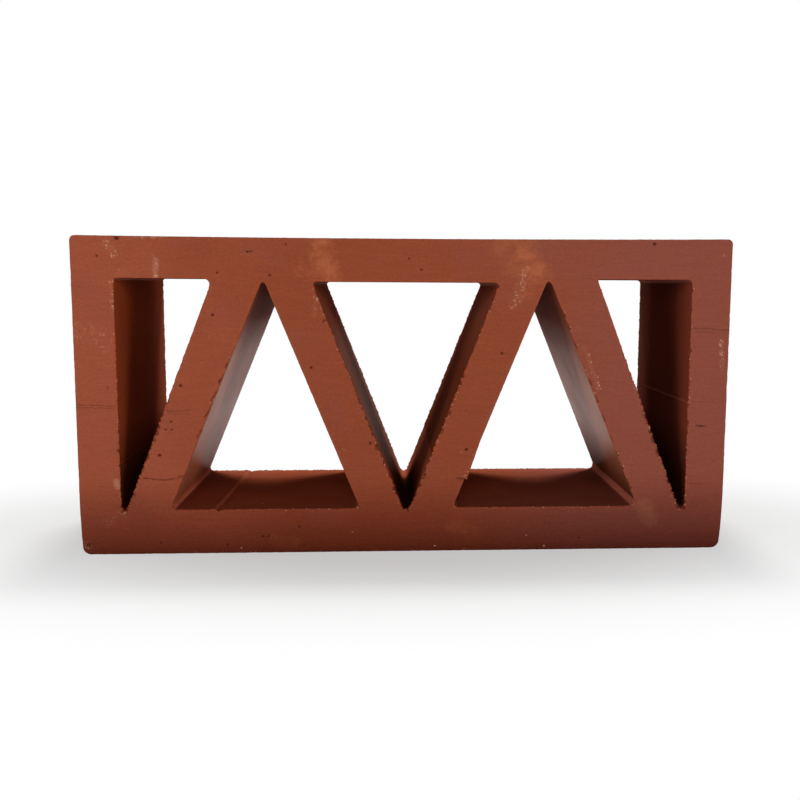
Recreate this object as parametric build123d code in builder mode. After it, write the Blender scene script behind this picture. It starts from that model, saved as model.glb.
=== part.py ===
from build123d import *
from math import asin, atan2, copysign, cos, tan
import os

# Terracotta breeze block: clay pressed through a die, cut to depth with a wire, and fired.
# It stands on its long edge, as laid. X runs along its length, Y along the die from the
# front cut face to the back one, and Z is up. The origin is the middle of its underside.

# Overall size
length = 290.0
depth = 90.0
height = 142.0

# Walls round the openings, and the slanting webs between them
end_wall = 18.0
top_wall = 19.0
bottom_wall = 20.8
web = 18.5

# The five triangular openings end in round tips that touch floor and ceiling in turn:
# one on the middle line, one against each end wall, and those of the two upright
# openings at this distance from the middle line
upright_tip_offset = 62.8
tip_radius = 1.5
wide_corner_radius = 1.8

# The die rounds the four long edges, the lower ones more
top_edge_radius = 2.2
bottom_edge_radius = 3.7

# The wire enters each cut face at the bottom and rolls that edge back
roll_height = 30.0
roll_depth = 3.5
roll_lip_radius = 2.0
top_arris_radius = 0.8

floor = bottom_wall
ceiling = height - top_wall
wall_face = length / 2 - end_wall


# A web passes between a tip round on the floor and one on the ceiling, and touches both, so
# its centre line crosses midway between them. A flank is its slope and its X at height 0.
def web_flank(floor_tip, ceiling_tip, side):
    across = ceiling_tip - floor_tip
    rise = ceiling - floor - 2 * tip_radius
    half_reach = (across**2 + rise**2) ** 0.5 / 2
    lean = atan2(abs(across), rise) - asin((web / 2 + tip_radius) / half_reach)
    slope = copysign(tan(lean), across)
    middle = (floor_tip + ceiling_tip) / 2 + side * web / 2 / cos(lean)
    return slope, middle - slope * (floor + ceiling) / 2


def x_at(flank, z):
    slope, start = flank
    return start + slope * z


def crossing(one, other):
    z = (other[1] - one[1]) / (one[0] - other[0])
    return x_at(one, z), z


# The webs of the half where X is positive
inner_web = [web_flank(0, upright_tip_offset, side) for side in (-1, 1)]
outer_web = [web_flank(wall_face - tip_radius, upright_tip_offset, side) for side in (-1, 1)]
middle_line = (0, 0)
wall_line = (0, wall_face)

middle_tip = crossing(inner_web[0], middle_line)
middle_reach = x_at(inner_web[0], ceiling)
middle_opening = [(-middle_reach, ceiling), (middle_reach, ceiling), middle_tip]

upright_opening = [
    (x_at(inner_web[1], floor), floor),
    (x_at(outer_web[0], floor), floor),
    crossing(inner_web[1], outer_web[0]),
]
end_opening = [
    (x_at(outer_web[1], ceiling), ceiling),
    (wall_face, ceiling),
    crossing(outer_web[1], wall_line),
]

with BuildPart() as block:
    # Section that the die gives, the same all the way through
    with BuildSketch(Plane.XZ):
        outline = Rectangle(length, height, align=(Align.CENTER, Align.MIN))
        fillet(outline.vertices().group_by(Axis.Y)[-1], top_edge_radius)
        fillet(outline.vertices().group_by(Axis.Y)[0], bottom_edge_radius)
        openings = [(middle_opening, 1)]
        openings += [(corners, side) for corners in (upright_opening, end_opening) for side in (-1, 1)]
        for corners, side in openings:
            with BuildLine():
                FilletPolyline(
                    [(side * x, z) for x, z in corners],
                    radius=[wide_corner_radius, wide_corner_radius, tip_radius],
                    close=True,
                )
            make_face(mode=Mode.SUBTRACT)
    extrude(amount=depth / 2, both=True)

    # Shape seen from the end, with the lower edge of both cut faces rolled back
    with BuildSketch(Plane.YZ) as side_shape:
        with BuildLine():
            roll_start = (depth / 2, roll_height)
            lip = (depth / 2 - roll_depth, 0)
            TangentArc(roll_start, lip, tangent=(0, -1))
            Polyline(lip, (0, 0), (0, height), (depth / 2, height), roll_start)
        make_face()
        mirror(about=Plane.YZ)
        fillet(side_shape.vertices().group_by(Axis.Y)[-1], top_arris_radius)
        fillet(side_shape.vertices().group_by(Axis.Y)[0], roll_lip_radius)
    extrude(amount=length, both=True, mode=Mode.INTERSECT)

block.part.label = "block"

os.makedirs("parts", exist_ok=True)
export_step(block.part, "parts/block.step")
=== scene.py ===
import math

import bpy
import numpy as np
from mathutils import Matrix, Vector, kdtree, noise


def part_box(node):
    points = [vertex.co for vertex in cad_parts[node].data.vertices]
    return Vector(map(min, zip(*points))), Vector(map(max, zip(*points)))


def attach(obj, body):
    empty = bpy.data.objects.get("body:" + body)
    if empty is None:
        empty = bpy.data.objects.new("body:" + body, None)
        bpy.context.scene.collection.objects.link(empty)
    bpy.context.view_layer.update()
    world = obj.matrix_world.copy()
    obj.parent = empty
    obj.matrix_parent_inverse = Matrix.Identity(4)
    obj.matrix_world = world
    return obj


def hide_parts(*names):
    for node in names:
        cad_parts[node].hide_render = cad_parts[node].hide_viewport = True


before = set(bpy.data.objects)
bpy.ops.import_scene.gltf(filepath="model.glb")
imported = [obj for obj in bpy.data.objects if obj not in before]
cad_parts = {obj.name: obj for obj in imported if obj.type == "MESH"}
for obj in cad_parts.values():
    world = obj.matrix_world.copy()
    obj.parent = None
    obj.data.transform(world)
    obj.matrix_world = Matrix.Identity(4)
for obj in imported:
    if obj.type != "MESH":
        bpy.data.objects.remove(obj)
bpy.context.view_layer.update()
cadLow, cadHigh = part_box("block")
bpy.ops.object.select_all(action="DESELECT")
mm = 0.001
halfDepth = cadHigh[1] / mm
samePlace = 0.01 * mm  # corners closer than this stand in one place
print("frame loaded, block", [round((high - low) / mm, 1) for low, high in zip(cadLow, cadHigh)], "mm")


# Small helpers for working in edit mode
def startEdit(obj, mode="FACE"):
    bpy.ops.object.select_all(action="DESELECT")
    bpy.context.view_layer.objects.active = obj
    obj.select_set(True)
    bpy.ops.object.mode_set(mode="EDIT")
    bpy.ops.mesh.select_mode(type=mode)
    bpy.ops.mesh.select_all(action="DESELECT")


def pickFaces(obj, wanted):
    bpy.ops.mesh.select_all(action="DESELECT")
    bpy.ops.object.mode_set(mode="OBJECT")
    for face in obj.data.polygons:
        face.select = wanted(face)
    bpy.ops.object.mode_set(mode="EDIT")


def pickEdges(obj, wanted):
    bpy.ops.mesh.select_all(action="DESELECT")
    bpy.ops.object.mode_set(mode="OBJECT")
    points = [v.co.copy() for v in obj.data.vertices]
    for edge in obj.data.edges:
        edge.select = wanted(points[edge.vertices[0]], points[edge.vertices[1]])
    bpy.ops.object.mode_set(mode="EDIT")


def applyModifier(obj, kind, **settings):
    modifier = obj.modifiers.new(kind.lower(), kind)
    for name, value in settings.items():
        setattr(modifier, name, value)
    bpy.ops.object.select_all(action="DESELECT")
    bpy.context.view_layer.objects.active = obj
    obj.select_set(True)
    bpy.ops.object.modifier_apply(modifier=modifier.name)


# Section of the block as the die gave it, in mm from the middle line and the underside.
# Each opening lists its corners going round, and the radius of each.
section = {
    "topEdgeRadius": 2.2,
    "bottomEdgeRadius": 3.7,
    "openings": {
        "leftEnd": [(-126.9, 123.3, 1.2), (-84.8, 123.3, 3.0), (-126.9, 14.8, 1.8)],
        "leftUpright": [(-105.4, 20.8, 2.2), (-21.4, 20.8, 2.2), (-63.1, 123.5, 1.3)],
        "middle": [(-41.9, 122.2, 1.5), (40.8, 122.2, 1.5), (-0.6, 16.9, 2.5)],
        "rightUpright": [(20.5, 21.0, 2.0), (104.9, 21.0, 3.0), (62.6, 124.9, 1.6)],
        "rightEnd": [(84.4, 124.0, 0.6), (127.2, 124.0, 2.0), (127.2, 13.2, 2.1)],
    },
    "openingsWithin": {"across": 130.0, "low": 10.0, "high": 130.0},  # no opening reaches past these
    "overrun": 10.0,  # how far the cutters stand out of both faces
    "roundSteps": 8,
    "edgeStrip": 0.45,  # narrow strips along every edge of the cut face
    "secondStrip": 1.1,
    "grid": 1.55,  # spacing of the mesh on the cut faces
    "smallest": 0.04,  # points closer than this are merged
    "ringDepths": [0.35, 0.9, 1.8, 3.4, 7.0, 13.0, 26.0],  # mesh rings behind each cut face
    "smoothAngle": 42.0,  # degrees, sharper edges than this stay sharp
}

# Where the mesh is made finer, in mm
finer = {
    "cuts": 3,
    "pastStrips": 0.1,
    "depth": 1.0,
    "sameAway": 0.16,  # an edge runs along the opening when its ends are this equally far from it
    "sameDepth": 0.01,
    "longest": 0.55,
    "crackStep": 1.2,
    "crackReach": 0.3,
    "aroundSpots": 0.75,
}


def addOpening(name, corners):
    # A triangle drawn in front of the block, drawn out along the die and rounded
    low, high = cadLow[1] - section["overrun"] * mm, cadHigh[1] + section["overrun"] * mm
    bpy.ops.mesh.primitive_circle_add(vertices=3, fill_type="NGON")
    cutter = bpy.context.object
    cutter.name = name + "Cutter"
    for vertex, (x, z, radius) in zip(cutter.data.vertices, corners):
        vertex.co = (x * mm, low, z * mm)
    startEdit(cutter)
    bpy.ops.mesh.select_all(action="SELECT")
    bpy.ops.mesh.extrude_region_move(TRANSFORM_OT_translate={"value": (0, high - low, 0)})
    bpy.ops.mesh.select_mode(type="EDGE")
    for i, (x, z, radius) in enumerate(corners):
        here = Vector((x, z))
        before = Vector(corners[i - 1][:2]) - here
        after = Vector(corners[(i + 1) % 3][:2]) - here
        reach = radius * mm / math.tan(before.angle(after) / 2)
        pickEdges(cutter, lambda a, b: all((p.xz - here * mm).length < samePlace for p in (a, b)))
        bpy.ops.mesh.bevel(offset=reach, segments=section["roundSteps"], profile=0.5, clamp_overlap=False)
    bpy.ops.mesh.select_all(action="SELECT")
    bpy.ops.mesh.normals_make_consistent(inside=False)
    bpy.ops.object.mode_set(mode="OBJECT")
    return cutter


def buildSection():
    # The bare block, with its four outer corners rounded along the die
    middle = [(low + high) / 2 for low, high in zip(cadLow, cadHigh)]
    extent = [high - low for low, high in zip(cadLow, cadHigh)]
    bpy.ops.mesh.primitive_cube_add(size=1, location=middle, scale=extent)
    block = bpy.context.object
    block.name = "clayBlock"
    bpy.ops.object.transform_apply(location=True, rotation=True, scale=True)
    startEdit(block, "EDGE")
    for z, radius in ((cadHigh[2], section["topEdgeRadius"]), (cadLow[2], section["bottomEdgeRadius"])):
        pickEdges(block, lambda a, b: max(abs(a.z - z), abs(b.z - z), abs(a.x - b.x)) < samePlace)
        bpy.ops.mesh.bevel(offset=radius * mm, segments=section["roundSteps"], profile=0.5)
    bpy.ops.object.mode_set(mode="OBJECT")

    # The five openings
    for name, corners in section["openings"].items():
        cutter = addOpening(name, corners)
        applyModifier(block, "BOOLEAN", operation="DIFFERENCE", solver="EXACT", object=cutter)
        bpy.data.objects.remove(cutter)
    print("section cut,", len(block.data.polygons), "faces")

    # Only the front face is kept, and gets strips along its edges
    startEdit(block)
    pickFaces(block, lambda face: face.normal.y > -0.5)
    bpy.ops.mesh.delete(type="FACE")
    bpy.ops.mesh.select_all(action="SELECT")
    for strip in ("edgeStrip", "secondStrip"):
        bpy.ops.mesh.inset(thickness=section[strip] * mm, use_boundary=True, use_even_offset=True)
    print("front face with its strips")
    return block


def cutAcross(axis, places):
    # One cut right across everything for each place along an axis, in metres
    direction = [float(axis == name) for name in "XYZ"]
    for place in places:
        bpy.ops.mesh.select_all(action="SELECT")
        bpy.ops.mesh.bisect(plane_co=[place * d for d in direction], plane_no=direction)


def evenly(low, high, spacing):
    # Places between two ends, about a spacing in mm apart
    count = round((high - low) / (spacing * mm))
    return [low + (high - low) * i / count for i in range(1, count)]


def drawOut(block):
    # The face gets its grid and is drawn out along the die, then gets rings of mesh behind each cut face
    groove = relief["groove"]
    grooveAt = [groove[end] * mm for end in ("front", "back")]
    margin = groove["meshReach"] * groove["width"] * mm
    cutAcross("X", evenly(cadLow[0], cadHigh[0], section["grid"]))
    cutAcross("X", evenly(min(grooveAt) - margin, max(grooveAt) + margin, groove["mesh"]))
    cutAcross("Z", evenly(cadLow[2], cadHigh[2], section["grid"]))
    bpy.ops.mesh.select_all(action="SELECT")
    bpy.ops.mesh.remove_doubles(threshold=section["smallest"] * mm)
    bpy.ops.mesh.select_all(action="SELECT")
    bpy.ops.mesh.extrude_region_move(TRANSFORM_OT_translate={"value": (0, cadHigh[1] - cadLow[1], 0)})
    for depth in section["ringDepths"]:
        cutAcross("Y", [cadLow[1] + depth * mm, cadHigh[1] - depth * mm])
    bpy.ops.mesh.select_all(action="SELECT")
    bpy.ops.mesh.normals_make_consistent(inside=False)
    bpy.ops.object.mode_set(mode="OBJECT")
    print("drawn out,", len(block.data.polygons), "faces")


# How firing, the wire and handling changed the drawn section, in mm. Places on a cut face are x and z.
# The wire went upward through the clay, so edges that face up are torn and edges that face down are clean.
relief = {
    "roll": {"height": 30.0, "left": 2.3, "right": 3.4, "fades": 12.0},  # lower edge of both cut faces
    "top": {"from": 120.0, "tilt": 0.31, "sag": 0.67},
    "torn": {
        "down": 0.10, "level": 0.45, "up": 0.95, "floor": 0.42, "outline": 0.10,  # by the way the edge faces
        "webFacing": 0.38,  # how far the flanks of the webs face up or down
        "floorFacing": 0.8,
        "most": 1.4,
        "reach": 0.85, "farthest": 2.4,
        "rounding": 0.08, "roundingReach": 0.3,
        "shown": 1.3,  # how soon a torn place counts as fully torn in the material
    },
    "tearNoise": {
        # sizes of the roughness, then how strong each is
        "fineSize": 0.42, "coarseSize": 1.3, "patchSize": 9.0, "biteSize": 1.9,
        "fine": 1.2, "coarse": 0.6, "patch": 0.8, "bite": 1.8,
        "roughShare": 0.75, "bittenShare": 0.75, "biteFrom": 0.05,
        "inMost": 1.2, "outMost": 0.35,
        "lost": 0.2, "lostRough": 0.35, "lostBitten": 0.4,  # of the corner
        "apart": 50.0,  # the two cut faces lie this far to each side in the noise
    },
    "tornMore": [
        # x, z, reach, times as much
        (-119, 42, 17, 1.9), (-79.5, 86, 4, 5), (-84, 75, 4, 4), (-87.5, 65.5, 4, 4), (-90.5, 57, 3.5, 4),
        (-92.5, 51, 3, 6), (-92, 104, 24, 0.12), (92, 104, 24, 0.12), (-105, 74, 10, 0.6), (105, 74, 9, 0.7),
        (-38, 108, 16, 0.5), (-12, 45, 14, 1.2), (36, 106, 12, 0.7), (12, 45, 16, 1.1), (80, 92, 8, 7),
        (87, 70, 7, 9), (97, 44, 12, 4), (119, 40, 18, 1.5), (127, 70, 26, 2.2), (-127, 90, 25, 1.2),
        (22, 60, 16, 1.8), (-124, 20, 5, 1.6),
    ],
    "flakes": [
        # off the lower edges of the outer webs: which side of the middle, high and low end, width
        (-1, 89.5, 84.0, 1.0), (-1, 82.5, 77.0, 1.2), (-1, 75.5, 69.0, 1.6), (-1, 67.5, 61.5, 1.5),
        (-1, 59.0, 53.0, 1.4), (1, 112.0, 107.0, 0.7), (1, 106.0, 101.5, 0.8), (1, 97.0, 93.0, 0.6),
        (1, 81.0, 76.5, 1.0), (1, 72.0, 68.5, 0.7), (1, 64.0, 60.0, 0.8), (1, 55.0, 51.5, 0.7),
        (1, 48.0, 44.0, 0.9), (1, 41.0, 38.0, 0.7), (1, 34.5, 29.0, 1.0),
    ],
    "outerWebsFrom": 60.0,
    "groove": {
        # along the floor of the left upright opening
        "front": -84.5, "back": -82.6, "width": 1.1, "depth": 0.75,
        "mesh": 0.45, "meshReach": 2.2,  # spacing of the finer mesh, and its reach in widths
        "lip": 0.35, "lipAt": 1.9, "dish": 0.25, "dishWidth": 3.0,  # heights in depths, sizes in widths
        "along": (-20.0, 0.75, 0.6),  # a place behind the middle, and the depth left there and at the back
        "edgeFades": 1.6,
        "below": 30.0,
    },
    "tongue": {
        # clay pushed over the third web's right edge, ending in a step
        "left": 18.0, "right": 40.0, "low": 34.3, "high": 52.0, "out": 1.1,
    },
    "waves": {"size": 26.0, "height": 0.10, "ripple": 7.0, "rippleShare": 0.35, "fades": 13.0, "apart": 40.0},
    "pits": [
        # x, z, radius, depth
        (-125, 141, 1.3, 1.2), (-133.5, 133, 0.6, 0.7), (-69.5, 135.5, 0.8, 0.9), (-68, 135.7, 0.6, 0.7),
        (-60, 125, 0.7, 0.8), (-82.5, 126, 0.6, 0.7), (-85, 107.5, 0.9, 0.7), (-36.5, 105, 0.7, 0.7),
        (-42.5, 84.5, 0.9, 0.6), (-99.5, 76.5, 0.9, 0.9), (-104, 60.5, 0.7, 0.7), (-106.5, 57, 0.8, 0.5),
        (-104, 57, 0.7, 0.5), (-109.5, 45.5, 1.0, 0.8), (6, 128, 0.6, 0.7), (0.5, 133, 0.6, 0.6),
        (42, 91, 0.8, 0.9), (26.5, 47.5, 1.0, 1.0), (-16.5, 50.5, 1.1, 0.7), (-48.5, 12.5, 0.7, 0.6),
        (-65, 8, 0.8, 0.8), (-62.5, 8, 0.7, 0.7), (-81, 4, 0.7, 0.5), (109.5, 140, 0.9, 1.2),
        (-142.5, 4.5, 1.3, 0.9), (-131, 75.5, 0.5, 0.6), (-53, 139, 0.6, 0.5), (73, 57, 0.6, 0.5),
    ],
    "pitShape": {
        "across": 0.8, "radius": 0.68, "bowl": 0.7, "search": 1.3,
        "wobble": 0.3, "wobbleFineness": 1.6,
    },
    "backPits": {
        "count": 24, "seed": 11, "radius": (0.5, 1.0), "depth": (0.5, 0.9),
        # stretches of plain clay that they keep to: left and right, low and high
        "bars": [(-142, -130, 8, 134), (130, 142, 8, 134), (-135, 135, 4, 12), (-135, 135, 129, 138)],
    },
    "cracks": [
        # points of a fine crack in the front face, then its depth
        ([(-117, 35.3), (-112, 34.6), (-107, 34.4), (-103, 35.0), (-98, 36.3)], 0.5),
        ([(-0.5, 21.5), (0.5, 19)], 0.8),
        ([(124, 22.5), (124.3, 20)], 0.8),
        ([(131.6, 58.1), (134.6, 57.8)], 0.6),
        ([(22.5, 34.2), (26.5, 34.0)], 0.7),
    ],
    "crackShape": {"halfWidth": 0.35, "wander": 0.12, "wanderSize": 2.0, "across": 22.0, "up": 8.0},
}


def readPoints(mesh):
    points = np.empty(len(mesh.vertices) * 3)
    mesh.vertices.foreach_get("co", points)
    return points.reshape(-1, 3) / mm


def writePoints(mesh, points):
    # Nothing leaves the CAD box
    low, high = np.array(cadLow) / mm, np.array(cadHigh) / mm
    mesh.vertices.foreach_set("co", (np.clip(points, low, high) * mm).ravel())
    mesh.update()


def wallNormals(mesh):
    # For each vertex, the way that the walls touching it face, or nothing where no wall does
    faces = len(mesh.polygons)
    normals, totals, corners = np.empty(faces * 3), np.empty(faces, int), np.empty(len(mesh.loops), int)
    mesh.polygons.foreach_get("normal", normals)
    mesh.polygons.foreach_get("loop_total", totals)
    mesh.loops.foreach_get("vertex_index", corners)
    normals = normals.reshape(-1, 3)
    normals[np.abs(normals[:, 1]) > 0.5] = 0
    facing = np.zeros((len(mesh.vertices), 3))
    np.add.at(facing, corners, np.repeat(normals, totals, axis=0))
    length = np.linalg.norm(facing, axis=1, keepdims=True)
    return np.where(length > 0.1, facing / np.maximum(length, 0.1), 0)


def edgeFacts(mesh):
    # For each vertex: its place, the depth behind the nearer cut face, the distance to the nearest edge
    # of the section, that edge's place and facing, and whether the edge belongs to an opening
    points = readPoints(mesh)
    facing = wallNormals(mesh)
    depth = halfDepth - np.abs(points[:, 1])
    onEdge = np.flatnonzero((points[:, 1] < -halfDepth + 0.001) & (np.abs(facing).sum(axis=1) > 0.1))
    ends = np.empty(len(mesh.edges) * 2, int)
    mesh.edges.foreach_get("vertices", ends)
    ends = ends.reshape(-1, 2)
    first, last = ends[np.isin(ends, onEdge).all(axis=1)].T
    shares = np.linspace(0, 1, 6, endpoint=False)
    places = np.concatenate([points[first] * (1 - share) + points[last] * share for share in shares])
    ways = np.concatenate([facing[first] * (1 - share) + facing[last] * share for share in shares])
    tree = kdtree.KDTree(len(places))
    for i, (x, y, z) in enumerate(places):
        tree.insert((x, 0, z), i)
    tree.balance()
    found = [tree.find((x, 0, z))[1:] for x, y, z in points]
    nearest = np.array([i for i, far in found])
    away = np.array([far for i, far in found])
    place = places[nearest]
    within = section["openingsWithin"]
    opening = (place[:, 2] > within["low"]) & (place[:, 2] < within["high"])
    opening = opening & (np.abs(place[:, 0]) < within["across"])
    return points, depth, away, place, ways[nearest], opening


def fineSpots(pits):
    # Places that need a finer mesh for a pit or a crack: x, side, z and radius
    spots = [(x, side, z, radius) for side in (-1, 1) for x, z, radius, deep in pits[side]]
    for path, deep in relief["cracks"]:
        for (x0, z0), (x1, z1) in zip(path, path[1:]):
            steps = max(2, round(math.hypot(x1 - x0, z1 - z0) / finer["crackStep"]))
            for i in range(steps + 1):
                x, z = x0 + (x1 - x0) * i / steps, z0 + (z1 - z0) * i / steps
                spots.append((x, -1, z, finer["crackReach"]))
    return spots


def refineEdges(block, pits):
    # Finer mesh along the edges of the openings and where pits and cracks go
    points, depth, away, place, facing, opening = edgeFacts(block.data)
    strips = section["edgeStrip"] + section["secondStrip"] + finer["pastStrips"]
    near = opening & (away < strips) & (depth < finer["depth"])
    startEdit(block, "EDGE")
    bpy.ops.object.mode_set(mode="OBJECT")
    for edge in block.data.edges:
        a, b = edge.vertices
        level = abs(away[a] - away[b]) < finer["sameAway"] and abs(depth[a] - depth[b]) < finer["sameDepth"]
        long = math.dist(points[a], points[b]) > finer["longest"]
        edge.select = bool(near[a] and near[b] and level and long)
    bpy.ops.object.mode_set(mode="EDIT")
    bpy.ops.mesh.subdivide(number_cuts=finer["cuts"])
    bpy.ops.mesh.select_mode(type="FACE")

    spots = fineSpots(pits)
    finder = {side: kdtree.KDTree(len(spots)) for side in (-1, 1)}
    for i, (x, side, z, radius) in enumerate(spots):
        finder[side].insert((x, 0, z), i)
    for side in finder:
        finder[side].balance()

    def underSpot(face):
        side = round(face.normal.y)
        if side not in finder:
            return False
        x, y, z = face.center / mm
        i, far = finder[side].find((x, 0, z))[1:]
        return i is not None and far < spots[i][3] + finer["aroundSpots"]

    pickFaces(block, underSpot)
    bpy.ops.mesh.subdivide(number_cuts=finer["cuts"])
    bpy.ops.object.mode_set(mode="OBJECT")
    print("edges and pits refined,", len(block.data.polygons), "faces")


def makeWaves(moved, points, side, depth):
    # Slow waves in the cut faces and in the walls close behind them
    waves = relief["waves"]
    for i in np.flatnonzero(depth < waves["fades"]):
        place = Vector((points[i, 0], side[i] * waves["apart"], points[i, 2]))
        rise = noise.noise(place / waves["size"])
        rise += waves["rippleShare"] * noise.noise(place / waves["ripple"])
        moved[i, 1] -= side[i] * waves["height"] * (1 + rise) * (1 - depth[i] / waves["fades"])


def tearAmount(x, side, z, facingUp, opening):
    # How much the wire tore an edge at a place
    torn = relief["torn"]
    if not opening:
        amount = torn["outline"]
    elif facingUp > torn["floorFacing"]:
        amount = torn["floor"]
    else:
        facings = [-torn["webFacing"], 0, torn["webFacing"]]
        amount = np.interp(facingUp, facings, [torn["down"], torn["level"], torn["up"]])
    for atX, atZ, reach, times in relief["tornMore"]:
        if side < 0:
            amount *= 1 + (times - 1) * math.exp(-((x - atX) ** 2 + (z - atZ) ** 2) / reach**2)
    return min(amount, torn["most"])


def tearAt(x, side, z, facingUp, opening):
    # How far the edge is torn back at a place, and how far its corner is lost
    grain = relief["tearNoise"]
    amount = tearAmount(x, side, z, facingUp, opening)
    place = Vector((x, side * grain["apart"], z))
    rough = grain["fine"] * noise.noise(place / grain["fineSize"])
    rough += grain["coarse"] * noise.noise(place / grain["coarseSize"])
    patchy = grain["bittenShare"] + grain["patch"] * noise.noise(place / grain["patchSize"])
    bite = noise.noise(place / grain["biteSize"] + Vector((7, 3, 1)))  # moved off the other noise
    bitten = max(0, bite - grain["biteFrom"]) * grain["bite"]
    back = amount * (grain["roughShare"] * rough + patchy * bitten)
    back = max(min(back, grain["inMost"]), -grain["outMost"])
    if side < 0 and facingUp < -0.2:
        tongue = relief["tongue"]
        for half, high, low, width in relief["flakes"]:
            if low < z < high and half * x > relief["outerWebsFrom"]:
                back += width * (high - z) / (high - low)  # widest at its low end
        if tongue["left"] < x < tongue["right"] and tongue["low"] < z < tongue["high"]:
            back -= tongue["out"] * (tongue["high"] - z) / (tongue["high"] - tongue["low"])
    lost = amount * (grain["lost"] + grain["lostRough"] * abs(rough) + grain["lostBitten"] * bitten)
    return back, lost


def tearEdges(moved, side, depth, onCut, away, place, facing, opening):
    # Moves what lies near an edge, and gives how torn each place is, from 0 to 1
    torn = relief["torn"]
    tornMask = np.zeros(len(moved))
    for i in np.flatnonzero(np.hypot(away, depth) < torn["farthest"]):
        fades = math.exp(-(away[i] ** 2 + depth[i] ** 2) / torn["reach"] ** 2)
        nearEdge = math.exp(-(away[i] ** 2 + depth[i] ** 2) / torn["roundingReach"] ** 2)
        back, lost = tearAt(place[i, 0], side[i], place[i, 2], facing[i, 2], opening[i])
        moved[i, 0] -= facing[i, 0] * (back * fades + torn["rounding"] * nearEdge)
        moved[i, 2] -= facing[i, 2] * (back * fades + torn["rounding"] * nearEdge)
        if onCut[i]:
            moved[i, 1] -= side[i] * (lost * fades + torn["rounding"] * nearEdge)
        tornMask[i] = min(1, (abs(back) + lost) * torn["shown"]) * fades
    return tornMask


def sinkPits(moved, points, side, onCut, pits, pitted):
    shape = relief["pitShape"]
    x, z = points[:, 0], points[:, 2]
    for pitSide in (-1, 1):
        for atX, atZ, radius, deep in pits[pitSide]:
            far = np.hypot((x - atX) * shape["across"], z - atZ) / (shape["radius"] * radius)
            for i in np.flatnonzero((far < shape["search"]) & onCut & (side == pitSide)):
                place = Vector((x[i], atX, z[i]))
                rim = 1 + shape["wobble"] * noise.noise(place * shape["wobbleFineness"])
                sink = max(0, 1 - (far[i] / rim) ** 2)
                moved[i, 1] -= pitSide * deep * sink ** shape["bowl"]
                # painted shade in the pit, darkest where it sinks most
                pitted[i] = max(pitted[i], min(1, sink * 2))


def alongPath(x, z, path):
    # Distance from a place to a path of straight pieces
    best = math.inf
    for (x0, z0), (x1, z1) in zip(path, path[1:]):
        length = (x1 - x0) ** 2 + (z1 - z0) ** 2
        share = min(max(((x - x0) * (x1 - x0) + (z - z0) * (z1 - z0)) / length, 0), 1)
        best = min(best, math.hypot(x - x0 - share * (x1 - x0), z - z0 - share * (z1 - z0)))
    return best


def openCracks(moved, points, side, onCut, pitted):
    # Fine cracks in the front face, which wander a little off their paths
    shape = relief["crackShape"]
    for path, deep in relief["cracks"]:
        startX, startZ = path[0]
        for i in np.flatnonzero(onCut & (side < 0)):
            x, y, z = points[i]
            if abs(x - startX) < shape["across"] and abs(z - startZ) < shape["up"]:
                wander = shape["wander"] * noise.noise(Vector((x, 5, z)) / shape["wanderSize"])
                far = alongPath(x, z + wander, path) / shape["halfWidth"]
                if far < 1:
                    moved[i, 1] += deep * (1 - far)
                    # painted shade along the crack
                    pitted[i] = max(pitted[i], 1 - far)


def pressGroove(moved, points, away, place, facing, opening):
    # A groove in one floor, where the clay caught on the die
    groove = relief["groove"]
    turnsAt, turned, atBack = groove["along"]
    y = points[:, 1]
    centre = np.interp(y, [-halfDepth, halfDepth], [groove["front"], groove["back"]])
    off = (points[:, 0] - centre) / groove["width"]
    cross = np.exp(-(off**2)) - groove["lip"] * np.exp(-((off + groove["lipAt"]) ** 2))
    cross = cross + groove["dish"] * np.exp(-((off / groove["dishWidth"]) ** 2))
    onFloor = opening & (facing[:, 2] > relief["torn"]["floorFacing"]) & (place[:, 2] < groove["below"])
    falls = np.interp(y, [-halfDepth, turnsAt, halfDepth], [1, turned, atBack])
    sunk = groove["depth"] * cross * falls * np.exp(-away / groove["edgeFades"])
    moved[:, 2] -= np.where(onFloor, sunk, 0)


def sagAndRoll(moved, points, side, depth):
    # The top sags a little and the lower edge of both cut faces rolls back
    top, roll = relief["top"], relief["roll"]
    height = cadHigh[2] / mm
    across = points[:, 0] / (cadHigh[0] / mm)
    z = points[:, 2]
    lowered = top["tilt"] * (1 - across) + top["sag"] * (1 - across**2)
    moved[:, 2] -= lowered * np.clip((z - top["from"]) / (height - top["from"]), 0, 1)
    rolled = np.interp(across, [-1, 1], [roll["left"], roll["right"]])
    rolled = rolled * np.clip(1 - z / roll["height"], 0, 1) ** 2
    moved[:, 1] -= side * rolled * np.clip(1 - depth / roll["fades"], 0, 1)
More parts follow.
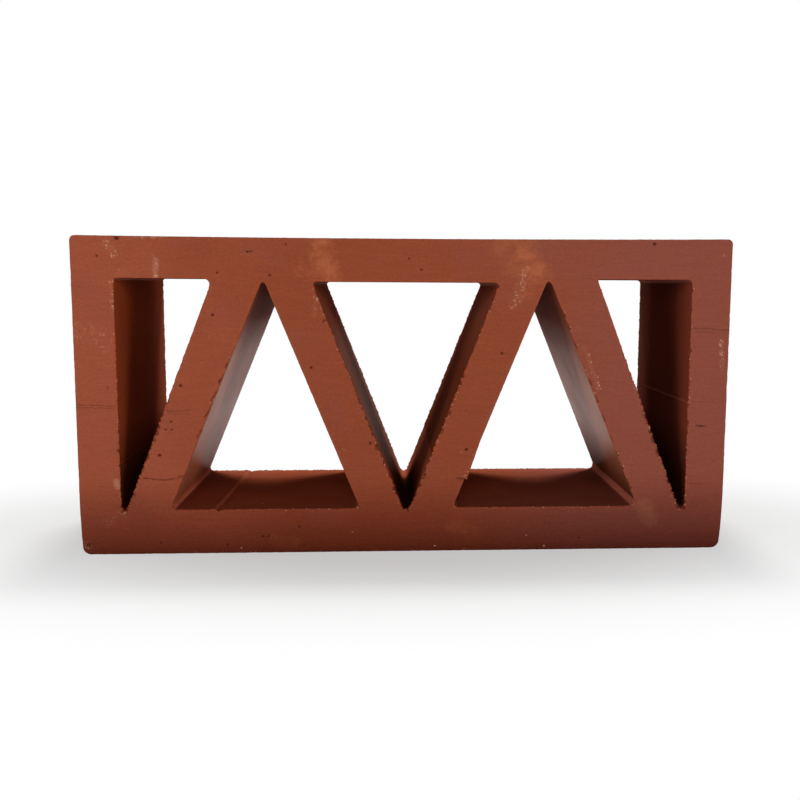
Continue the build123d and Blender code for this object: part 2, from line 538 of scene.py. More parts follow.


# How smooth the die left the walls, and the painted light and shade on them, as curves: places in mm or
# facings, then values.
# A facing is how far a wall faces up: 1 for a floor, 0 for an end wall, below 0 for the underside of a web.
wallTone = {
    "skinByFacing": ([-0.45, -0.3, -0.05, 0.3, 0.45, 1.0], [1.0, 1.0, 0.0, 0.20, 0.20, 0.04]),
    "skinByHeight": ([20, 32, 56, 88, 106], [0.15, 0.6, 1.0, 0.8, 0.12]),
    "skinRightByHeight": ([30, 50, 70, 95], [0.3, 1, 1, 0.5]),
    "skinOutside": 0.10,
    "skinCeiling": 0.03,
    "skinCorner": 0.06,
    "skinThirdWeb": 0.02,
    "endByDepth": ([-45, -32, -8, 18, 32, 45], [1.25, 1.05, 0.8, 1.0, 1.6, 1.9]),
    "endRightByDepth": ([-40, -10, 30], [0.9, 0.42, 0.6]),
    "endByHeight": ([16, 36, 58], [0.08, 0.3, 1]),
    "endWarmByDepth": ([0, 25], [1, 0]),
    "undersideByHeight": ([22, 40, 55, 100], [1.2, 1.1, 0.8, 0.9]),
    "undersideRightByHeight": ([22, 50], [0.35, 1.0]),
    "topsideByHeight": ([45, 80, 105], [0.7, 0.8, 1.1]),
    "topsideRight": 0.9,
    "floorByDepth": ([-45, 20, 34, 45], [0.8, 0.8, 1.2, 1.6]),
    "ceiling": 1.6,
    "corner": 1.8,
    "footByDepth": ([-45, 20, 32], [0.08, 0.12, 1.7]),  # at the foot of the middle opening
    "footByHeight": ([26, 37], [0, 1]),
    "rimWidth": 0.7,
    # parts of the openings that the values above are for
    "rightFrom": 50,
    "thirdWebTo": 45,
    "corners": {"at": 100, "within": 8, "below": 27},
    "endWallsFrom": 124,
    "foot": {"within": 14, "below": 45},
}


def toneCurve(name, along):
    return np.interp(along, *wallTone[name])


def wallTones(points, onCut, away, facing, opening, tornMask):
    tone, corners, foot = wallTone, wallTone["corners"], wallTone["foot"]
    x, y, z = points.T
    faceUp = facing[:, 2]
    ceiling = faceUp < -0.6
    thirdWeb = opening & (faceUp > 0.2) & (faceUp < 0.6) & (x > 0) & (x < tone["thirdWebTo"])
    corner = opening & (z < corners["below"]) & (faceUp > -0.2) & (faceUp < 0.85)
    corner = corner & (np.abs(np.abs(x) - corners["at"]) < corners["within"])
    endWall = opening & (np.abs(facing[:, 0]) > 0.97) & (np.abs(x) > tone["endWallsFrom"])

    # The die skin on the undersides of the webs shines most, torn edges not at all; the same mask paints a
    # lighter colour there as painted sheen
    skin = toneCurve("skinByFacing", faceUp)
    skin = np.where(opening, skin * toneCurve("skinByHeight", z), tone["skinOutside"])
    skin = np.where(opening & (x > tone["rightFrom"]), skin * toneCurve("skinRightByHeight", z), skin)
    skin = np.where(thirdWeb, tone["skinThirdWeb"], skin)
    skin = np.where(opening & ceiling, tone["skinCeiling"], skin)
    skin = np.where(corner, tone["skinCorner"], skin)
    skin = np.where(onCut | endWall, 0, skin * (1 - tornMask))

    # Painted light and shade on the end walls: lightest at the mouth and the back, and darkest deep in their
    # narrow feet
    end = toneCurve("endByDepth", y)
    end = np.where(x > 0, end * toneCurve("endRightByDepth", y), end)
    end = end * toneCurve("endByHeight", z)

    # Painted light and shade on the flanks of the webs, then floors and ceilings, and a painted highlight
    # along the corners at the webs' feet
    flank = np.where(faceUp < -0.2, toneCurve("undersideByHeight", z), toneCurve("topsideByHeight", z))
    right = np.where(faceUp < 0, toneCurve("undersideRightByHeight", z), tone["topsideRight"])
    flank = np.where(x > 0, flank * right, flank)
    level = np.where(ceiling, tone["ceiling"], toneCurve("floorByDepth", y))
    pale = np.where(endWall, end, np.where(np.abs(faceUp) > 0.6, level, flank))
    pale = np.where(corner, tone["corner"], pale)

    # Painted shade and light at the middle opening's foot, dark at the front and lit at the back, then plain
    # clay with no painted light or shade everywhere else
    middle = opening & (np.abs(x) < foot["within"]) & (z < foot["below"])
    dark = toneCurve("footByDepth", y)
    pale = np.where(middle, dark + (1 - dark) * toneCurve("footByHeight", z), pale)
    pale = np.where(opening & ~onCut, pale, 1.0)
    rim = np.where(onCut & opening, np.exp(-((away / tone["rimWidth"]) ** 2)), 0)
    # A warmer, more saturated tone on the front half of the end walls, to go with their painted light
    warm = (endWall & ~onCut) * toneCurve("endWarmByDepth", y)
    return {"skin": skin, "pale": pale, "rim": rim, "warm": warm}


def shapeRelief(block, pits):
    # Moves the mesh, and gives the material what it has to know about each place
    points, depth, away, place, facing, opening = edgeFacts(block.data)
    side = np.sign(points[:, 1])
    onCut = depth < 0.001
    pitted = np.zeros(len(points))
    moved = points.copy()
    makeWaves(moved, points, side, depth)
    tornMask = tearEdges(moved, side, depth, onCut, away, place, facing, opening)
    sinkPits(moved, points, side, onCut, pits, pitted)
    openCracks(moved, points, side, onCut, pitted)
    pressGroove(moved, points, away, place, facing, opening)
    sagAndRoll(moved, points, side, depth)
    writePoints(block.data, moved)

    layers = {"cutFace": onCut * 1.0, "torn": tornMask, "pitted": pitted}
    layers.update(wallTones(points, onCut, away, facing, opening, tornMask))
    for name, values in layers.items():
        layer = block.data.attributes.new(name, "FLOAT", "POINT")
        layer.data.foreach_set("value", values.astype(np.float32))
    print("relief shaped, layers", ", ".join(layers))


def scatterPits(count, seed, radius, depth, bars):
    # Pits of the face that the photograph doesn't show, kept on the clay
    random = np.random.default_rng(seed)
    pits = []
    for i in range(count):
        x0, x1, z0, z1 = bars[i % len(bars)]
        x, z = random.uniform(x0, x1), random.uniform(z0, z1)
        pits.append((x, z, random.uniform(*radius), random.uniform(*depth)))
    return pits


block = buildSection()
drawOut(block)
pits = {-1: relief["pits"], 1: scatterPits(**relief["backPits"])}  # front and back
refineEdges(block, pits)
shapeRelief(block, pits)
bpy.ops.object.select_all(action="DESELECT")
block.select_set(True)
bpy.ops.object.shade_smooth_by_angle(angle=math.radians(section["smoothAngle"]))


# The camera stands where the photograph was taken from, a little left of the block's middle
cameraView = {
    "place": (-6.94, -460.11, 121.51),  # mm
    "turn": 3.344,  # degrees to the right
    "tilt": -6.791,  # degrees, down is negative
    "lean": 0.354,  # degrees, to one side
    "focal": 42.22,  # mm
    "sensor": 36.0,  # mm wide
    "shift": (-0.058, -0.0055),
    "nearest": 10.0,  # mm
}


def addCamera():
    data = bpy.data.cameras.new("camera")
    data.sensor_width = cameraView["sensor"]
    data.lens = cameraView["focal"]
    data.shift_x, data.shift_y = cameraView["shift"]
    data.clip_start = cameraView["nearest"] * mm
    camera = bpy.data.objects.new("camera", data)
    bpy.context.scene.collection.objects.link(camera)
    turn, tilt, lean = (math.radians(cameraView[name]) for name in ("turn", "tilt", "lean"))
    aim = Matrix.Rotation(-turn, 3, "Z") @ Matrix.Rotation(math.pi / 2 + tilt, 3, "X")
    camera.rotation_euler = (aim @ Matrix.Rotation(lean, 3, "Z")).to_euler()
    camera.location = Vector(cameraView["place"]) * mm
    bpy.context.scene.camera = camera
    print("camera placed")


# Small helpers for shader nodes
def addNode(tree, kind, inputs=None, **settings):
    # A node whose inputs are given as values or as the sockets that feed them
    node = tree.nodes.new(kind)
    for name, value in settings.items():
        setattr(node, name, value)
    for name, value in (inputs or {}).items():
        socket = node.inputs[name]
        if isinstance(value, bpy.types.NodeSocket):
            tree.links.new(value, socket)
        else:
            socket.default_value = value
    return node


def calculate(tree, operation, *values, clamp=False):
    inputs = dict(enumerate(values))
    return addNode(tree, "ShaderNodeMath", inputs, operation=operation, use_clamp=clamp).outputs[0]


def vectorMath(tree, operation, *values):
    return addNode(tree, "ShaderNodeVectorMath", dict(enumerate(values)), operation=operation).outputs


def scaleVector(tree, vector, scale):
    return addNode(tree, "ShaderNodeVectorMath", {0: vector, "Scale": scale}, operation="SCALE").outputs[0]


def spread(tree, value, low, high, toLow=0.0, toHigh=1.0):
    # A value carried smoothly from one range to another
    inputs = {"Value": value, "From Min": low, "From Max": high, "To Min": toLow, "To Max": toHigh}
    return addNode(tree, "ShaderNodeMapRange", inputs, interpolation_type="SMOOTHSTEP").outputs["Result"]


def blend(tree, share, first, second, kind="MIX"):
    # Two colours mixed
    node = addNode(tree, "ShaderNodeMix", data_type="RGBA", blend_type=kind, clamp_factor=True)
    colours = [socket for socket in node.inputs if socket.type == "RGBA"]
    for socket, value in zip([node.inputs[0]] + colours, (share, first, second)):
        if isinstance(value, bpy.types.NodeSocket):
            tree.links.new(value, socket)
        else:
            socket.default_value = value
    return [socket for socket in node.outputs if socket.type == "RGBA"][0]


def newGroup(name, inputs, outputs):
    # A node group with named inputs, each with its type and value, and named outputs
    tree = bpy.data.node_groups.new(name, "ShaderNodeTree")
    for label, (kind, value) in inputs.items():
        socket = tree.interface.new_socket(label, in_out="INPUT", socket_type="NodeSocket" + kind)
        socket.default_value = value
    for label, kind in outputs.items():
        tree.interface.new_socket(label, in_out="OUTPUT", socket_type="NodeSocket" + kind)
    return tree, tree.nodes.new("NodeGroupInput").outputs, tree.nodes.new("NodeGroupOutput").inputs


def useGroup(tree, group, inputs):
    return addNode(tree, "ShaderNodeGroup", inputs, node_tree=group).outputs[0]


def grainGroup():
    # Fine noise, longer one way than another, between 0 and 1
    inputs = {
        "Vector": ("Vector", (0, 0, 0)),
        "Stretch": ("Vector", (1, 1, 1)),
        "Fineness": ("Float", 1000.0),
        "Roughness": ("Float", 0.6),
    }
    tree, given, result = newGroup("stretchedGrain", inputs, {"Value": "Float"})
    stretched = vectorMath(tree, "MULTIPLY", given["Vector"], given["Stretch"])[0]
    wanted = {"Vector": stretched, "Scale": given["Fineness"], "Roughness": given["Roughness"], "Detail": 4.0}
    grain = addNode(tree, "ShaderNodeTexNoise", wanted)
    tree.links.new(grain.outputs["Fac"], result["Value"])
    return tree


def speckGroup():
    # Scattered round specks, each a different size
    inputs = {
        "Vector": ("Vector", (0, 0, 0)),
        "Fineness": ("Float", 300.0),
        "Size": ("Float", 0.2),
        "Share": ("Float", 0.3),
    }
    tree, given, result = newGroup("specks", inputs, {"Mask": "Float"})
    cells = addNode(tree, "ShaderNodeTexVoronoi", {"Vector": given["Vector"], "Scale": given["Fineness"]})
    picks = addNode(tree, "ShaderNodeSeparateColor", {"Color": cells.outputs["Color"]}).outputs
    wide = calculate(tree, "MULTIPLY", given["Size"], picks[1])
    far = calculate(tree, "DIVIDE", cells.outputs["Distance"], wide)
    within = calculate(tree, "SUBTRACT", 1.0, far, clamp=True)
    kept = calculate(tree, "LESS_THAN", picks[0], given["Share"])
    tree.links.new(calculate(tree, "MULTIPLY", spread(tree, within, 0.0, 0.5), kept), result["Mask"])
    return tree


def wanderGroup():
    # Places shifted a little, so that what is drawn on them wanders
    inputs = {"Vector": ("Vector", (0, 0, 0)), "Amount": ("Float", 0.001)}
    tree, given, result = newGroup("wander", inputs, {"Vector": "Vector"})
    drift = addNode(tree, "ShaderNodeTexNoise", {"Vector": given["Vector"], "Scale": 320.0, "Detail": 3.0})
    drift = vectorMath(tree, "SUBTRACT", drift.outputs["Color"], (0.5, 0.5, 0.5))[0]
    shift = scaleVector(tree, drift, given["Amount"])
    tree.links.new(vectorMath(tree, "ADD", given["Vector"], shift)[0], result["Vector"])
    return tree


def markGroup():
    # A soft straight mark between two places
    inputs = {
        "Vector": ("Vector", (0, 0, 0)),
        "Start": ("Vector", (0, 0, 0)),
        "End": ("Vector", (0.01, 0, 0)),
        "Width": ("Float", 0.001),
    }
    tree, given, result = newGroup("mark", inputs, {"Mask": "Float"})
    here = vectorMath(tree, "SUBTRACT", given["Vector"], given["Start"])[0]
    run = vectorMath(tree, "SUBTRACT", given["End"], given["Start"])[0]
    total = vectorMath(tree, "DOT_PRODUCT", run, run)[1]
    along = calculate(tree, "DIVIDE", vectorMath(tree, "DOT_PRODUCT", here, run)[1], total, clamp=True)
    reached = scaleVector(tree, run, along)
    far = calculate(tree, "DIVIDE", vectorMath(tree, "DISTANCE", here, reached)[1], given["Width"])
    tree.links.new(spread(tree, far, 1.0, 0.25), result["Mask"])
    return tree


# Look of the fired clay. Colours are linear, places in mm on the front face.
clayLook = {
    "plain": (0.282, 0.069, 0.035, 1),
    "orange": (0.240, 0.055, 0.025, 1),
    "purple": (0.228, 0.062, 0.040, 1),
    "palePatch": (0.40, 0.120, 0.050, 1),
    # painted highlight colour, for the sheen on the die skin and the ridges of the die lines
    "paintedHighlight": (0.72, 0.25, 0.12, 1),
    "rim": (0.31, 0.060, 0.024, 1),
    # painted shade, for the torn facets of the walls
    "chipShade": (0.18, 0.030, 0.011, 1),
    "dust": (0.54, 0.29, 0.19, 1),
    # painted shade, for pits, cracks, holes along torn edges, the wire's steps and dark specks
    "pitShade": (0.030, 0.008, 0.004, 1),
    "footHeight": 125.0,
    # painted shade at the foot of the cut faces: how bright it is, by shares of that height
    "footShade": [(0.0, 0.30), (0.03, 0.42), (0.10, 0.60), (0.17, 0.72), (0.24, 0.92), (0.30, 1.0)],
    "footRedder": 1.25,
    # the added saturation goes with the painted shade in the openings
    "deepRedder": 0.08,  # more saturation in the dark depths of the openings
    "deepWithin": (1.0, 0.5),  # tones where that begins and is full
    "cutRoughness": 0.92,
    "skinRoughness": 0.50,
    "skinCoat": 0.55,
    "leastSheen": 0.75,  # share of the coat that is left between its streaks
    "coatRoughness": 0.34,
    "driftReach": 140.0,  # how far noise moves the large changes of tone, from plain to orange to purple
    "orangeBetween": (-60.0, 20.0),
    "purpleBetween": (90.0, 170.0),
    "grain": {
        # fineness, stretch, roughness
        "drift": (16.0, (1, 1, 1), 0.6),
        "blotches": (38.0, (1, 1, 1), 0.6),
        "patchEdges": (170.0, (1, 1, 1), 0.6),
        "fine": (1400.0, (1, 1, 1), 0.75),
        "mottle": (420.0, (0.12, 1, 1), 0.6),
        "thin": (1700.0, (0.06, 1, 1), 0.65),
        "die": (500.0, (1, 0.02, 1), 0.7),
        "chips": (1500.0, (1, 1, 1), 0.8),
        "sheen": (60.0, (1, 1, 1), 0.6),
    },
    "grainBetween": {
        # the stretch of the noise that is used, then what it becomes
        "blotches": (0.50, 0.70, 0.0, 1.0),
        "patchEdges": (0.40, 0.60, 0.35, 1.0),
        "fine": (0.25, 0.75, -0.14, 0.14),
        "thin": (0.25, 0.75, 0.955, 1.045),
        "mottle": (0.3, 0.7, -0.02, 0.02),
    },
    "sheenBetween": (0.3, 0.7),
    "specks": {
        # fineness, size and share of the cells that have one
        "crumbs": (620.0, 0.62, 0.5),
        "fineCrumbs": (1050.0, 0.6, 0.5),
        "tiny": (240.0, 0.16, 0.10),
        "dark": (190.0, 0.13, 0.12),
        "holes": (520.0, 0.4, 0.35),
    },
    "strength": {
        "blotches": 0.40, "skin": 0.6, "rim": 0.4, "crumbs": 0.90, "film": 0.08, "tiny": 0.5, "dark": 0.8,
        "edgeCrumbs": 0.8, "holes": 0.8, "pitted": 0.62, "wireLines": 0.35,
    },
    "height": {
        # mm of relief in the finish
        "thin": 0.14, "mottle": 0.09, "fine": 0.06, "wireLines": -0.16,
        "die": 0.05, "dieFine": 0.02, "ridges": 0.30, "chips": 0.25,
    },
    "wander": {"orangePatches": 9.0, "purplePatches": 6.0, "smudges": 1.5, "dusty": 3.5, "wireLines": 1.2},
    # marks on the front face: start and end x, z, then width and strength
    "orangePatches": [
        (-38, 139, -34, 123, 7, 0.55), (-46, 128, -34, 124, 4, 0.3), (51, 141, 57, 126, 9, 0.6),
        (57, 127, 53, 119, 6, 0.35), (41, 139, 46, 130, 8, 0.3), (108, 21, 112, 14, 5, 0.20),
        (22, 12, 30, 8, 6, 0.25), (-60, 6, -50, 5, 4, 0.25),
    ],
    "purplePatches": [(59, 137, 63, 135, 6, 0.5), (-70, 137, -55, 131, 4, 0.3)],
    "smudges": [
        (-128.8, 33.4, -128.2, 31.8, 2.2, 0.28), (108, 21, 111, 15, 6, 0.04),
        (-108.6, 131, -109, 124, 1.8, 0.16),
    ],
    "dusty": [
        (-109, 132, -109, 123, 1.6, 0.8), (-130, 138, -126, 133, 2.2, 0.8),
        (-118, 140.5, -104, 140.8, 1.0, 0.5), (-128, 122, -127.5, 108, 1.4, 0.5),
        (141.5, 97, 142.5, 84, 1.6, 0.7), (79, 94, 86, 75, 1.5, 0.75), (-143, 5, -142, 3, 2.2, 0.6),
        (52, 128, 47, 112, 3.5, 0.45), (-124, 125, -121, 125.5, 2.0, 0.4),
        (24.3, 46.5, 24.8, 46.5, 0.8, 0.9), (-28.6, 47.7, -28.2, 47.7, 0.7, 0.9),
        (140.5, 134.6, 141, 134.6, 0.9, 0.9), (-134, 15, -128, 20, 3.0, 0.12),
        (-40, 116, -41, 108, 1.6, 0.45), (-121, 45, -126, 24, 1.4, 0.35), (122, 30, 126, 22, 1.6, 0.35),
        (-141, 100, -133, 96, 7, 0.22),
    ],
    "wireLines": [
        # fine steps that the wire left across the face, with painted shade along them
        (-145, 68.1, -128, 67.3, 0.40, 0.9), (-145, 67.0, -129, 66.3, 0.35, 0.7),
        (-110, 66.4, -102.5, 64.9, 0.40, 0.8), (-102.5, 64.9, -95.5, 65.8, 0.40, 0.8),
        (-106, 64.6, -101.5, 63.7, 0.35, 0.6), (-101.5, 63.7, -96, 64.2, 0.35, 0.6),
        (128, 102.6, 145, 101.4, 0.45, 0.9), (129, 101.0, 145, 100.0, 0.35, 0.5),
        (128, 69.2, 143, 68.6, 0.35, 0.4), (131.5, 58.0, 135.5, 58.0, 0.45, 0.8),
        (129, 31.4, 139, 31.0, 0.40, 0.6), (-38, 105, -24, 105.4, 0.35, 0.35),
        (-136, 31.5, -128, 31.0, 0.35, 0.4), (80, 78.5, 98, 77.6, 0.35, 0.35),
    ],
    "dieLines": [
        # start and end x, y, z of ridges along the walls, then half width and strength of the painted
        # highlight along them
        (-127, -45, 41.4, -127, 10, 42.1, 0.5, 0.05),
        (127.3, -46, 68.6, 127.3, 30, 68.4, 0.5, 0.14),
        (-85.8, -45, 20.9, -83.9, 45, 20.9, 0.7, 0.14),
    ],
}
clayGroups = {"grain": grainGroup(), "specks": speckGroup(), "mark": markGroup(), "wander": wanderGroup()}


def addGrain(tree, at, name):
    fineness, stretch, roughness = clayLook["grain"][name]
    inputs = {"Vector": at["place"], "Stretch": stretch, "Fineness": fineness, "Roughness": roughness}
    return useGroup(tree, clayGroups["grain"], inputs)


def addSpecks(tree, at, name):
    fineness, size, share = clayLook["specks"][name]
    inputs = {"Vector": at["place"], "Fineness": fineness, "Size": size, "Share": share}
    return useGroup(tree, clayGroups["specks"], inputs)


def addMarks(tree, at, name):
    # The strongest of several marks at each place of the front face
    wander = {"Vector": at["flat"], "Amount": clayLook["wander"][name] * mm}
    shifted = useGroup(tree, clayGroups["wander"], wander)
    total = 0.0
    for x0, z0, x1, z1, width, strength in clayLook[name]:
        start, end = (x0 * mm, 0, z0 * mm), (x1 * mm, 0, z1 * mm)
        inputs = {"Vector": shifted, "Start": start, "End": end, "Width": width * mm}
        one = calculate(tree, "MULTIPLY", useGroup(tree, clayGroups["mark"], inputs), strength)
        total = calculate(tree, "MAXIMUM", one, total)
    return calculate(tree, "MULTIPLY", total, at["front"])


def readClay(tree):
    # What the rest of the material works from: places, the mesh's layers and the grain
    at = {"place": addNode(tree, "ShaderNodeTexCoord").outputs["Object"]}
    at["x"], at["y"], at["z"] = addNode(tree, "ShaderNodeSeparateXYZ", {0: at["place"]}).outputs
    at["flat"] = addNode(tree, "ShaderNodeCombineXYZ", {0: at["x"], 1: 0.0, 2: at["z"]}).outputs[0]
    for name in ("cutFace", "torn", "pitted", "skin", "pale", "rim", "warm"):
        at[name] = addNode(tree, "ShaderNodeAttribute", attribute_name=name).outputs["Fac"]
    at["wall"] = calculate(tree, "SUBTRACT", 1.0, at["cutFace"])
    at["front"] = calculate(tree, "MULTIPLY", at["cutFace"], calculate(tree, "LESS_THAN", at["y"], 0.0))
    for name in ("fine", "mottle", "thin"):
        at[name] = addGrain(tree, at, name)
    at["wireLines"] = addMarks(tree, at, "wireLines")
    return at


def clayTone(tree, at):
    # Large soft changes of tone, warmer in the middle and greyer to the right, then patches
    look = clayLook
    between = look["grainBetween"]
    drift = calculate(tree, "MULTIPLY_ADD", addGrain(tree, at, "drift"), look["driftReach"] * mm, at["x"])
    toOrange = spread(tree, drift, *(x * mm for x in look["orangeBetween"]))
    toPurple = spread(tree, drift, *(x * mm for x in look["purpleBetween"]))
    colour = blend(tree, toOrange, look["plain"], look["orange"])
    colour = blend(tree, toPurple, colour, look["purple"])
    blotches = spread(tree, addGrain(tree, at, "blotches"), *between["blotches"])
    blotches = calculate(tree, "MULTIPLY", blotches, look["strength"]["blotches"])
    colour = blend(tree, blotches, colour, look["purple"])
    edges = spread(tree, addGrain(tree, at, "patchEdges"), *between["patchEdges"])
    patches = calculate(tree, "MULTIPLY", addMarks(tree, at, "orangePatches"), edges)
    colour = blend(tree, patches, colour, look["palePatch"])
    colour = blend(tree, addMarks(tree, at, "purplePatches"), colour, look["purple"])

    # Grain of the clay, then the painted light and shade of the walls: brighter or darker, and more saturated
    # where that shade is deep and on the front half of the end walls
    fine, thin, mottle = (spread(tree, at[name], *between[name]) for name in ("fine", "thin", "mottle"))
    value = calculate(tree, "ADD", calculate(tree, "ADD", fine, thin), mottle)
    value = calculate(tree, "MULTIPLY", value, at["pale"])
    deep = calculate(tree, "MAXIMUM", at["warm"], spread(tree, at["pale"], *look["deepWithin"]))
    deep = calculate(tree, "MULTIPLY_ADD", deep, look["deepRedder"], 1.0)
    inputs = {"Color": colour, "Saturation": deep, "Value": value}
    return addNode(tree, "ShaderNodeHueSaturation", inputs).outputs[0]


def clayEdges(tree, at, colour):
    # Painted sheen on the die's skin, the rims of the openings, painted shade on what broke off, then painted
    # shade at the foot of the cut faces
    look, strength = clayLook, clayLook["strength"]
    # Painted sheen: where the die skin shines, its colour is painted lighter
    colour = blend(tree, calculate(tree, "MULTIPLY", at["skin"], strength["skin"]), colour, look["paintedHighlight"])
    colour = blend(tree, calculate(tree, "MULTIPLY", at["rim"], strength["rim"]), colour, look["rim"])
    # Painted shade: the torn facets of the walls are coloured darker red
    colour = blend(tree, calculate(tree, "MULTIPLY", at["torn"], at["wall"]), colour, look["chipShade"])

    # Painted shade: the cut faces darken toward their foot
    risen = calculate(tree, "MULTIPLY", at["z"], 1 / (look["footHeight"] * mm))
    foot = addNode(tree, "ShaderNodeValToRGB", {"Fac": risen})
    ramp = foot.color_ramp
    ramp.interpolation = "B_SPLINE"
    while len(ramp.elements) < len(look["footShade"]):
        ramp.elements.new(0.5)
    for element, (risenTo, shade) in zip(ramp.elements, look["footShade"]):
        element.position = risenTo
        element.color = (shade, shade ** look["footRedder"], shade ** look["footRedder"], 1)
    shaded = blend(tree, 1.0, colour, foot.outputs["Color"], "MULTIPLY")
    return blend(tree, at["cutFace"], colour, shaded)


def dirtAndPaintedShade(tree, at, colour):
    # Smudges, dust, crumbs and pale specks, then painted shade in dark specks, holes, pits, cracks and the
    # wire's steps, each laid over the last
    look, strength = clayLook, clayLook["strength"]
    crumbs = calculate(tree, "MAXIMUM", addSpecks(tree, at, "crumbs"), addSpecks(tree, at, "fineCrumbs"))
    dusting = calculate(tree, "MULTIPLY_ADD", crumbs, strength["crumbs"], strength["film"])
    dusty = calculate(tree, "MULTIPLY", addMarks(tree, at, "dusty"), dusting)
    colour = blend(tree, addMarks(tree, at, "smudges"), colour, look["dust"])
    colour = blend(tree, dusty, colour, look["dust"])
    coats = [
        ("tiny", addSpecks(tree, at, "tiny"), "dust"),
        ("dark", addSpecks(tree, at, "dark"), "pitShade"),
        ("edgeCrumbs", calculate(tree, "MULTIPLY", at["torn"], crumbs), "dust"),
        ("holes", calculate(tree, "MULTIPLY", at["torn"], addSpecks(tree, at, "holes")), "pitShade"),
        ("pitted", at["pitted"], "pitShade"),
        ("wireLines", at["wireLines"], "pitShade"),
    ]
    for name, share, over in coats:
        colour = blend(tree, calculate(tree, "MULTIPLY", share, strength[name]), colour, look[over])
    return colour


def dieLines(tree, at):
    # Ridges that the die drew along the walls, and the painted highlight along them
    ridges = paintedRidgeHighlight = 0.0
    for x0, y0, z0, x1, y1, z1, halfWidth, strength in clayLook["dieLines"]:
        start, end = (x0 * mm, y0 * mm, z0 * mm), (x1 * mm, y1 * mm, z1 * mm)
        inputs = {"Vector": at["place"], "Start": start, "End": end, "Width": 2 * halfWidth * mm}
        one = useGroup(tree, clayGroups["mark"], inputs)
        ridges = calculate(tree, "MAXIMUM", one, ridges)
        paintedRidgeHighlight = calculate(tree, "MAXIMUM", calculate(tree, "MULTIPLY", one, strength), paintedRidgeHighlight)
    return [calculate(tree, "MULTIPLY", line, at["wall"]) for line in (ridges, paintedRidgeHighlight)]


def clayHeight(tree, at, ridges):
    # Marks of the wire on the cut faces, marks of the die on the walls, in mm
    height = clayLook["height"]
    wire = calculate(tree, "MULTIPLY", at["mottle"], height["mottle"])
    for name in ("thin", "fine", "wireLines"):
        wire = calculate(tree, "MULTIPLY_ADD", at[name], height[name], wire)
    die = calculate(tree, "MULTIPLY", addGrain(tree, at, "die"), height["die"])
    die = calculate(tree, "MULTIPLY_ADD", at["fine"], height["dieFine"], die)
    die = calculate(tree, "MULTIPLY_ADD", ridges, height["ridges"], die)
    both = addNode(tree, "ShaderNodeMix", {0: at["cutFace"], 2: die, 3: wire}, data_type="FLOAT").outputs[0]
    chips = calculate(tree, "MULTIPLY", addGrain(tree, at, "chips"), at["torn"])
    return calculate(tree, "MULTIPLY_ADD", chips, height["chips"], both)


def clayMaterial():
    clay = bpy.data.materials.new("firedClay")
    clay.use_nodes = True
    tree = clay.node_tree
    look = clayLook
    at = readClay(tree)
    ridges, paintedRidgeHighlight = dieLines(tree, at)
    colour = clayEdges(tree, at, clayTone(tree, at))
    # Painted highlight along the die's ridges
    colour = blend(tree, paintedRidgeHighlight, dirtAndPaintedShade(tree, at, colour), look["paintedHighlight"])
    bump = {"Height": clayHeight(tree, at, ridges), "Strength": 1.0, "Distance": mm}
    streaks = spread(tree, addGrain(tree, at, "sheen"), *look["sheenBetween"],
                     look["leastSheen"] * look["skinCoat"], look["skinCoat"])
    smoother = look["skinRoughness"] - look["cutRoughness"]
    finish = {
        "Base Color": colour,
        "Roughness": calculate(tree, "MULTIPLY_ADD", at["skin"], smoother, look["cutRoughness"]),
        "Coat Weight": calculate(tree, "MULTIPLY", at["skin"], streaks),
        "Normal": addNode(tree, "ShaderNodeBump", bump).outputs["Normal"],
    }
    surface = tree.nodes["Principled BSDF"]
    for name, socket in finish.items():
        tree.links.new(socket, surface.inputs[name])
    surface.inputs["Coat Roughness"].default_value = look["coatRoughness"]
    surface.inputs["Specular IOR Level"].default_value = 0.0
    print("clay made,", len(tree.nodes), "nodes")
    return clay


# Soft studio light: lamps before the block, at both sides and above it, with a pale floor and surround.
# Places and sizes are in metres.
studio = {
    "floorSize": 6.0,
    "floorColour": (0.66, 0.66, 0.65, 1),
    "frontLamp": {"place": (-0.05, -1.15, 0.24), "size": 0.8, "power": 9.1},
    "leftLamp": {"place": (-1.15, -0.85, 0.30), "size": 0.5, "power": 4.5},
    "rightLamp": {"place": (1.15, -0.85, 0.30), "size": 0.5, "power": 4.2},
    "topLamp": {"place": (0.04, 0.40, 1.25), "size": 0.26, "power": 12.0},
    "lampsAim": (0, 0, 0.07),
    "surround": 0.02,
    "shadowStretch": (0.5, 1, 1),  # the floor's shadow reaches twice as far to the sides
    "shadowReach": (0.05, 0.17),  # from the middle, where that shadow begins to fade and is gone
    "shadowStrength": 0.55,
}


def addLamp(name, place, size, power):
    data = bpy.data.lights.new(name, "AREA")
    data.shape = "DISK"
    data.size = size
    data.energy = power
    lamp = bpy.data.objects.new(name, data)
    bpy.context.scene.collection.objects.link(lamp)
    lamp.location = place
    lamp.rotation_euler = (Vector(studio["lampsAim"]) - Vector(place)).to_track_quat("-Z", "Y").to_euler()


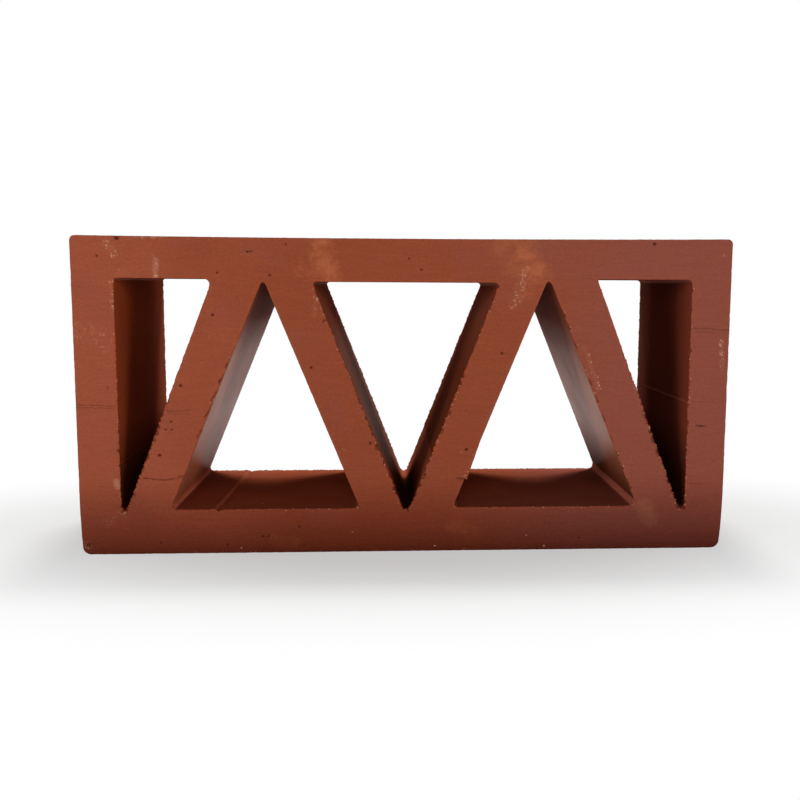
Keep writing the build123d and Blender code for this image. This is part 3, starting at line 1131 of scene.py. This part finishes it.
def seenWhite(tree):
    # 1 for rays that show the background itself: straight to the camera, mirrored or passed through
    rays = addNode(tree, "ShaderNodeLightPath").outputs
    seen = calculate(tree, "MAXIMUM", rays["Is Camera Ray"], rays["Is Glossy Ray"])
    return calculate(tree, "MAXIMUM", seen, rays["Is Transmission Ray"])


def floorPaint():
    # Plain white to those rays, but for the shadow round the block
    paint = bpy.data.materials.new("paleFloor")
    paint.use_nodes = True
    tree = paint.node_tree
    surface = tree.nodes["Principled BSDF"]
    surface.inputs["Base Color"].default_value = studio["floorColour"]
    surface.inputs["Roughness"].default_value = 1.0
    surface.inputs["Specular IOR Level"].default_value = 0.0
    place = addNode(tree, "ShaderNodeTexCoord").outputs["Object"]
    away = vectorMath(tree, "LENGTH", vectorMath(tree, "MULTIPLY", place, studio["shadowStretch"])[0])[1]
    plain = spread(tree, away, *studio["shadowReach"], 1 - studio["shadowStrength"], 1.0)
    white = addNode(tree, "ShaderNodeEmission", {"Color": (1, 1, 1, 1), "Strength": 1.0}).outputs[0]
    share = calculate(tree, "MULTIPLY", plain, seenWhite(tree))
    mixed = addNode(tree, "ShaderNodeMixShader", {0: share, 1: surface.outputs[0], 2: white}).outputs[0]
    tree.links.new(mixed, tree.nodes["Material Output"].inputs["Surface"])
    return paint


def addSurround():
    world = bpy.data.worlds.new("surround")
    bpy.context.scene.world = world
    world.use_nodes = True
    tree = world.node_tree
    tree.nodes.clear()
    soft, white = (
        addNode(tree, "ShaderNodeBackground", {"Color": (1, 1, 1, 1), "Strength": strength}).outputs[0]
        for strength in (studio["surround"], 1.0)
    )
    mixed = addNode(tree, "ShaderNodeMixShader", {0: seenWhite(tree), 1: soft, 2: white}).outputs[0]
    addNode(tree, "ShaderNodeOutputWorld", {"Surface": mixed})


def addStudio():
    for name in ("frontLamp", "leftLamp", "rightLamp", "topLamp"):
        addLamp(name, **studio[name])
    bpy.ops.mesh.primitive_plane_add(size=studio["floorSize"])
    floor = bpy.context.object
    floor.name = "floor"
    floor.data.materials.append(floorPaint())
    addSurround()
    bpy.context.scene.view_settings.view_transform = "Standard"
    print("studio lit")


block.data.materials.clear()
block.data.materials.append(clayMaterial())
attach(block, "root")
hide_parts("block")
addCamera()
addStudio()
